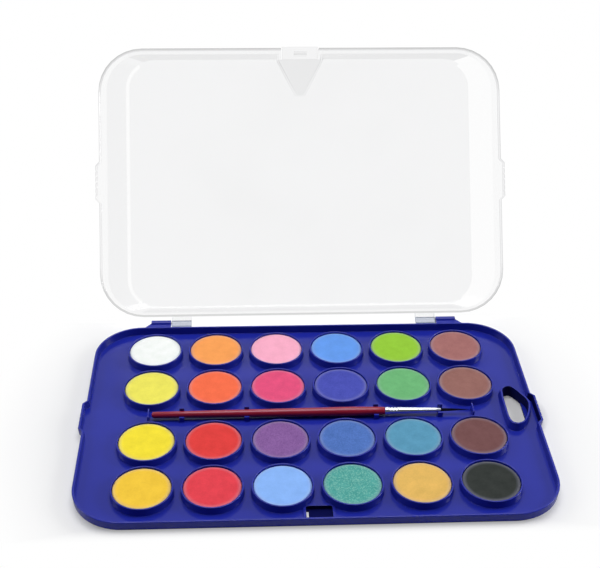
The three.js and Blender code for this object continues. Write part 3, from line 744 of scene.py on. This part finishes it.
def pressed_paint(name, colour, grain, glitter):
    """Matt pressed pigment: mottled, grainy, and paler at the rim, with dust and a painted reflection of the
    blue collar there.
    """
    material, tree, shader = new_material("pressed_paint_" + name)
    place = object_place(tree)
    mottle = noise(tree, place, scale=160, detail=4)
    grains = noise(tree, place, scale=1500, detail=3, roughness=0.75)
    both = tree.nodes.new("ShaderNodeMix")
    both.data_type = "FLOAT"
    grain_share = 0.35 + 0.5 * grain
    wire(tree, grain_share, both.inputs["Factor"])
    wire(tree, mottle, both.inputs[2])
    wire(tree, grains, both.inputs[3])
    darkening = 0.05 + 0.22 * grain
    lightening = 0.6 * darkening
    chalkiness = 0.03 * grain
    darker = [c * (1 - darkening) for c in colour]
    lighter = [min(1, c * (1 + lightening) + chalkiness) for c in colour]
    cake = two_tones(tree, both.outputs[0], darker, lighter, cake_tone_ends)
    # Towards the rim, dust and a painted reflection of the blue collar are mixed in.
    rim = tree.nodes.new("ShaderNodeAttribute")
    rim.attribute_name = "rim"
    dust_and_reflection_amount = graded(tree, rim.outputs["Fac"], (dust_and_reflection_from, 1), high=dust_and_reflection_most)
    dust_and_reflection = [dust_and_reflection_share * c + d for c, d in zip(colour, dust_and_reflection_tone)]
    surface = mix_tones(tree, dust_and_reflection_amount, cake, (*dust_and_reflection, 1))
    if glitter:
        # Painted glints: pale flecks mixed into the colour.
        flakes = tree.nodes.new("ShaderNodeTexVoronoi")
        feed(tree, flakes, {"Vector": place, "Scale": 2100})
        painted_glints = graded(tree, flakes.outputs["Color"], painted_glint_ends, high=glitter)
        surface = mix_tones(tree, painted_glints, surface, painted_glint_tone)
    feed(tree, shader, {
        "Base Color": surface,
        "Roughness": graded(tree, grains, low=0.68, high=0.92),
        "Specular IOR Level": 0.12,
        "Normal": bump(tree, grains, strength=0.25 + 0.35 * grain, distance=0.2 * mm),
    })
    return material


def tablet(name, x, y, material):
    """One tablet, spun from its profile about its middle."""
    bm = bmesh.new()
    edge_share = bm.verts.layers.float.new("rim")
    points = []
    for r, z, share in tablet_profile:
        point = bm.verts.new((x + r * mm, y, z * mm))
        point[edge_share] = share
        points.append(point)
    spin_round(bm, points, zip(points, points[1:]), (x, y, 0), (0, 0, 1), tablet_sides)
    bmesh.ops.remove_doubles(bm, verts=bm.verts, dist=weld)
    return piece(bm, "tablet_" + name, "tray", material, sharp=40)


for order, (name, colour, grain, glitter) in enumerate(tablet_paints):
    row, column = divmod(order, tablets_in_row)
    paint = pressed_paint(name, colour, grain, glitter)
    cake = tablet(name, columns[column], rows[row], paint)
    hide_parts("paint_" + name)


# Brush handle
# A turned wooden stick that swells towards the ferrule, dipped in glossy red lacquer.
# It lies loose in the tray's clips.
handle_start = -88.75
# lengths from the handle's end, and radii, in millimetres
handle_profile = [
    (0, 0), (0.12, 0.8), (0.5, 1.4), (1.2, 1.75), (30, 2.0), (70, 2.33), (105, 2.62), (111.5, 2.65),
    (118, 2.56), (124, 2.38), (129.3, 2.2), (129.6, 2.05), (129.6, 0),
]
brush_sides = 40
lacquer_tones = ((0.26, 0.004, 0.022), (0.34, 0.008, 0.034))


def turn_on_brush_axis(bm, profile, start):
    """A turned piece of the brush from its profile of lengths and radii in millimetres."""
    points = [bm.verts.new(((start + s) * mm, brush_y, brush_z + r * mm)) for s, r in profile]
    spin_round(bm, points, zip(points, points[1:]), (0, brush_y, brush_z), (1, 0, 0), brush_sides)
    bmesh.ops.remove_doubles(bm, verts=bm.verts, dist=weld)


def drawn_out(tree, place, share):
    """A place whose pattern is drawn out along the brush."""
    node = tree.nodes.new("ShaderNodeMapping")
    feed(tree, node, {"Vector": place, "Scale": (share, 1, 1)})
    return node.outputs["Vector"]


red_lacquer, tree, shader = new_material("red_lacquer")
wood = noise(tree, drawn_out(tree, object_place(tree), 0.08), scale=900, detail=4)
feed(tree, shader, {
    "Base Color": two_tones(tree, wood, *lacquer_tones, ends=(0.3, 0.75)),
    "Roughness": 0.24,
    "Specular IOR Level": 0.5,
    "Specular Tint": (0.85, 0.88, 1, 1),
    "Normal": bump(tree, wood, strength=0.15, distance=0.1 * mm),
})

bm = bmesh.new()
turn_on_brush_axis(bm, handle_profile, handle_start)
handle = piece(bm, "brush_handle_stick", "brush", red_lacquer, sharp=40)
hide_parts("brush_handle")


# Ferrule
# A seamless tapered tube of bright aluminium, crimped onto the handle with three rings and
# open at the end that holds the hair.
ferrule_start = 41.15
ferrule_length = 31.1
ferrule_radius = 2.15
ferrule_taper = 0.95
first_crimp = 3
crimp_pitch = 1.7
crimp_count = 3
# across one crimp: lengths from its middle, and how much the radius changes there
crimp_profile = [(-0.5, 0.02), (-0.25, -0.2), (0, -0.32), (0.25, -0.2), (0.5, 0.02)]
aluminium_tones = ((0.66, 0.69, 0.78), (0.8, 0.83, 0.92))

ferrule_profile = [(0, 0), (0, 2.05), (0.12, ferrule_radius)]
for crimp in range(crimp_count):
    middle = first_crimp + crimp_pitch * crimp
    radius = ferrule_radius - ferrule_taper * middle / ferrule_length
    ferrule_profile += [(middle + along, radius + change) for along, change in crimp_profile]
ferrule_profile += [(12, 1.78), (20, 1.54), (28, 1.3), (30.9, 1.22), (ferrule_length, 1.14),
                    (31.0, 0.92), (28, 0.98), (28, 0)]

aluminium, tree, shader = new_material("bright_aluminium")
lines = noise(tree, drawn_out(tree, object_place(tree), 0.03), scale=2600, detail=3)
feed(tree, shader, {
    "Base Color": two_tones(tree, lines, *aluminium_tones),
    "Roughness": graded(tree, lines, low=0.14, high=0.26),
    "Metallic": 1.0,
})

bm = bmesh.new()
turn_on_brush_axis(bm, ferrule_profile, ferrule_start)
ferrule = piece(bm, "brush_ferrule_tube", "brush", aluminium, sharp=50)
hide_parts("brush_ferrule")


# Brush hair
# Several hundred fine dark hairs, glued into the ferrule, that close to a point. Lengths here
# are in millimetres, but for one hair's radius.
hair_root = 70.4
hair_tip = 89.7
hair_count = 460
hair_steps = 5
hair_radius = 0.05 * mm
hair_seed = 24
tuft_radius = 0.8
tip_radius = 0.05
tuft_narrows = 0.12
closing_power = 2.2
outer_hairs_shorter = 0.04
uneven_ends = 0.22
golden_turn = math.pi * (3 - math.sqrt(5))
hair_tones = ((0.003, 0.003, 0.008), (0.006, 0.005, 0.012))

dark_hair, tree, shader = new_material("dark_hair")
to_tip = graded(tree, part_along(tree, object_place(tree), "X"), (72 * mm, 90 * mm))
feed(tree, shader, {
    "Base Color": two_tones(tree, to_tip, *hair_tones),
    "Roughness": 0.55,
    "Specular IOR Level": 0.08,
})

bm = bmesh.new()
along_brush = Matrix.Rotation(math.pi / 2, 4, "Y")
bmesh.ops.create_cone(bm, cap_ends=True, segments=4, radius1=hair_radius, radius2=hair_radius / 4,
                      depth=1, matrix=Matrix.Translation((0.5, 0, 0)) @ along_brush)
long_edges = [e for e in bm.edges if abs(e.verts[0].co.x - e.verts[1].co.x) > 0.5]
bmesh.ops.subdivide_edges(bm, edges=long_edges, cuts=hair_steps - 1)
bmesh.ops.recalc_face_normals(bm, faces=bm.faces)
one_hair = bpy.data.meshes.new("one_hair")
bm.to_mesh(one_hair)
bm.free()

chance = random.Random(hair_seed)
bm = bmesh.new()
for strand in range(hair_count):
    bm.from_mesh(one_hair)
for order, point in enumerate(bm.verts):
    strand, corner = divmod(order, len(one_hair.vertices))
    if corner == 0:
        turn = strand * golden_turn
        share = math.sqrt((strand + 0.5) / hair_count)
        shortened = uneven_ends * share * chance.random() + outer_hairs_shorter * share
        length = (hair_tip - hair_root) * (1 - shortened)
    s = point.co.x
    spread = tuft_radius * share * (1 - tuft_narrows * s) * (1 - s ** closing_power) + tip_radius * share
    point.co.x = (hair_root + s * length) * mm
    point.co.y += brush_y + spread * math.cos(turn) * mm
    point.co.z += brush_z + spread * math.sin(turn) * mm
tuft = piece(bm, "brush_hair_tuft", "brush", dark_hair, sharp=60)
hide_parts("brush_hair")


# Clear lid and its latch tab
# One moulding in clear polished plastic: a thin raised panel with sloping sides, a flange and a
# short rim. Its knuckles have the hinge pins, and a tab with a hook flexes at the thumb ramp.
# The lid's tones hold painted shade and painted highlights: darker on its rim, knuckles, front wall, left
# side and latch slits, and lighter on its panel edge, right side and flange ends.
lid_lean = math.radians(55)
lid_up = Vector((0, math.cos(lid_lean), math.sin(lid_lean)))
lid_out = Vector((0, math.sin(lid_lean), -math.cos(lid_lean)))
seat_height = 1 * mm
lid_seat = Vector((0, hinge_y, hinge_z)) + seat_height * lid_out
lid_rounding = 0.25 * mm
latch_rounding = 0.15 * mm
clear_sharp = 30
flat_enough = 0.6
clear_tone = (0.9, 0.905, 0.91, 1)
smudge_tone = (0.93, 0.93, 0.93, 1)
faded_tone = (0.99, 0.99, 0.99, 1)
shadow_tone = (0.95, 0.955, 0.96, 1)
# smears and smudges: the values of one pattern where they begin and where they are full
haze_ends = (0.4, 0.8)
haze_roughness = (0.02, 0.1)
smudge_ends = (0.5, 0.75)
smudge_most = 0.35
edge_tone_ends = (0.35, 1)
# where a painted shade or highlight fades out: an axis, a middle, how far from it the plastic is clear,
# and how far from it its tone is full
rim_painted_shade_fade = ("Z", 78 * mm, 43 * mm, 56 * mm)
flange_painted_highlight_fade = ("X", 0, 112 * mm, 106 * mm)
fade_least = 0.15
# each tone: its material, its tone straight on and edge on, how solid it is, and its fade; most of
# these tones are painted shade or a painted highlight
clear_panel = ("clear_plastic", (0.967, 0.967, 0.969), (0.62, 0.62, 0.63), 0.35)
# Painted shade: the knuckles are dark blue-grey.
clear_knuckle_painted_shade = ("clear_knuckle_plastic_painted_shade", (0.36, 0.4, 0.5), (0.3, 0.33, 0.4), 0.3)
# Painted shade: the rim is darker, but fades out along the middle of its sides.
clear_rim_painted_shade = ("clear_rim_plastic_painted_shade", (0.66, 0.66, 0.66), (0.45, 0.45, 0.45), 0.2, rim_painted_shade_fade)
# Painted highlight: the flange turns lighter towards its ends at the lid's sides.
clear_flange_painted_highlight = ("clear_flange_plastic_painted_highlight", (0.967, 0.967, 0.969), (0.62, 0.62, 0.63), 0.2, flange_painted_highlight_fade)
# Painted shade: the front wall and the thumb ramp are greyer.
clear_front_wall_painted_shade = ("clear_front_wall_plastic_painted_shade", (0.895, 0.895, 0.897), (0.6, 0.6, 0.61), 0.3)
# Painted shade: the left side wall is a little greyer.
clear_side_wall_painted_shade = ("clear_side_wall_plastic_painted_shade", (0.952, 0.952, 0.954), (0.7, 0.7, 0.7), 0.3)
# Painted highlight: the panel's edge, the right side wall and the tab's walls are lighter.
clear_panel_edge_painted_highlight = ("clear_panel_edge_plastic_painted_highlight", (0.996, 0.996, 0.996), (0.85, 0.85, 0.85), 0.1)
clear_latch = ("clear_latch_plastic", (0.955, 0.955, 0.957), (0.86, 0.86, 0.86), 0.06)
# Painted shade: the sides of the latch slits are dark.
clear_latch_edge_painted_shade = ("clear_latch_edge_plastic_painted_shade", (0.55, 0.55, 0.55), (0.4, 0.4, 0.4), 0.1)


def clear_moulding(name, straight, edge_on, solid, fade=None):
    """Clear plastic: mostly seen straight through, and greyer where it is seen edge on."""
    material, tree, shader = new_material(name)
    place = object_place(tree)
    smear = noise(tree, place, scale=13, detail=5)
    feed(tree, shader, {
        "Base Color": clear_tone,
        "Roughness": graded(tree, smear, haze_ends, *haze_roughness),
        "Transmission Weight": 1.0,
        "IOR": 1.001,
        "Coat Weight": 1.0,
        "Coat Roughness": 0.05,
    })
    facing = tree.nodes.new("ShaderNodeLayerWeight")
    feed(tree, facing, {"Blend": 0.5})
    tone = two_tones(tree, facing.outputs["Facing"], straight, edge_on, edge_tone_ends)
    smudges = graded(tree, smear, smudge_ends, high=smudge_most)
    tone = mix_tones(tree, smudges, tone, smudge_tone)
    # The painted shade or highlight fades out by its distance from a middle along one axis.
    if fade:
        axis, middle, clear_at, full_at = fade
        to_middle = reckon(tree, "SUBTRACT", part_along(tree, place, axis), middle)
        distance = reckon(tree, "ABSOLUTE", to_middle)
        fullness = graded(tree, distance, (clear_at, full_at), low=fade_least)
        tone = mix_tones(tree, fullness, faded_tone, tone)
    film = tree.nodes.new("ShaderNodeBsdfTransparent")
    feed(tree, film, {"Color": tone})
    lets_light_by = tree.nodes.new("ShaderNodeBsdfTransparent")
    feed(tree, lets_light_by, {"Color": shadow_tone})
    body = mix_shaders(tree, solid, film.outputs[0], shader.outputs[0])
    shown = mix_shaders(tree, rays_that(tree, "Is Shadow Ray"), body, lets_light_by.outputs[0])
    wire(tree, shown, tree.nodes["Material Output"].inputs["Surface"])
    return material


clear_tones_with_painted_light = {
    "panel": clear_moulding(*clear_panel),
    "knuckle": clear_moulding(*clear_knuckle_painted_shade),
    "rim": clear_moulding(*clear_rim_painted_shade),
    "flange": clear_moulding(*clear_flange_painted_highlight),
    "front_wall": clear_moulding(*clear_front_wall_painted_shade),
    "side_wall": clear_moulding(*clear_side_wall_painted_shade),
    "panel_edge": clear_moulding(*clear_panel_edge_painted_highlight),
    "latch": clear_moulding(*clear_latch),
    "latch_edge": clear_moulding(*clear_latch_edge_painted_shade),
}

# Where on the lid each tone, with its painted shade or highlight, lies: up from the hinge, out from
# the seat, and to the sides.
knuckle_side = (69 * mm, 82 * mm)
knuckle_up = 2.2 * mm
knuckle_out = 0.25 * mm
slit_side = (10.5 * mm, 12.2 * mm)
front_up = 155 * mm
tab_wall_out = 1.5 * mm
rim_out = 0.2 * mm
front_wall_out = 3.5 * mm
ramp_side = 15 * mm
ramp_up = 145 * mm
ramp_out = (3.8 * mm, 5.6 * mm)
flange_out = (1.5 * mm, 3.7 * mm)
panel_side = 100 * mm
panel_edge_out = 7.2 * mm
side_wall_out = 3.6 * mm
# how squarely a face lies to its direction: 1 is flat on, and 0 is edge on
flat_on = 0.9
sloping = 0.97
steep = 0.7


def between(value, ends):
    """Whether a value lies between two others."""
    return ends[0] < value < ends[1]


def clear_tone_of(face, is_tab):
    """Which of the clear tones, with their painted shade and highlights, one face of the lid or its tab
    has, from where it lies.
    """
    from_seat = face.center - lid_seat
    up = from_seat.dot(lid_up)
    out = from_seat.dot(lid_out)
    square_on = abs(face.normal.dot(lid_out))
    side = abs(face.center.x)
    if between(side, knuckle_side) and up < knuckle_up and out < knuckle_out:
        return "knuckle"
    if up > front_up and between(side, slit_side) and abs(face.normal.x) > flat_on:
        return "latch_edge"
    if is_tab:
        return "panel_edge" if out < tab_wall_out else "latch"
    if out < rim_out and square_on > flat_on:
        return "rim"
    if up > front_up and out > front_wall_out and square_on < steep:
        return "front_wall"
    if up > ramp_up and side < ramp_side and between(out, ramp_out):
        return "front_wall"
    if between(out, flange_out) and square_on > flat_on:
        return "flange"
    if square_on < sloping and side > panel_side:
        if out > panel_edge_out:
            return "panel_edge"
        if out > side_wall_out:
            # The right side wall takes the panel edge's painted highlight, and the left one the side wall's
            # painted shade.
            return "panel_edge" if face.center.x > 0 else "side_wall"
    return "panel"


def clear_piece(node, name, body, rounding):
    """A CAD node's shape with its seams closed and its edges rounded, in clear plastic."""
    bm = bmesh.new()
    bm.from_mesh(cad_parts[node].data)
    bmesh.ops.remove_doubles(bm, verts=bm.verts, dist=weld)
    bmesh.ops.dissolve_limit(bm, angle_limit=math.radians(flat_enough), verts=bm.verts, edges=bm.edges)
    made = smooth_object(bm, name, clear_sharp)
    clear_tone_names = list(clear_tones_with_painted_light)
    for clear_tone_name in clear_tone_names:
        made.data.materials.append(clear_tones_with_painted_light[clear_tone_name])
    for face in made.data.polygons:
        face.material_index = clear_tone_names.index(clear_tone_of(face, node == "latch_tab"))
    soften_edges(made, rounding, clear_sharp)
    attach(made, body)
    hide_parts(node)


clear_piece("lid", "clear_lid", "lid", lid_rounding)
clear_piece("latch_tab", "clear_latch_tab", "latch", latch_rounding)
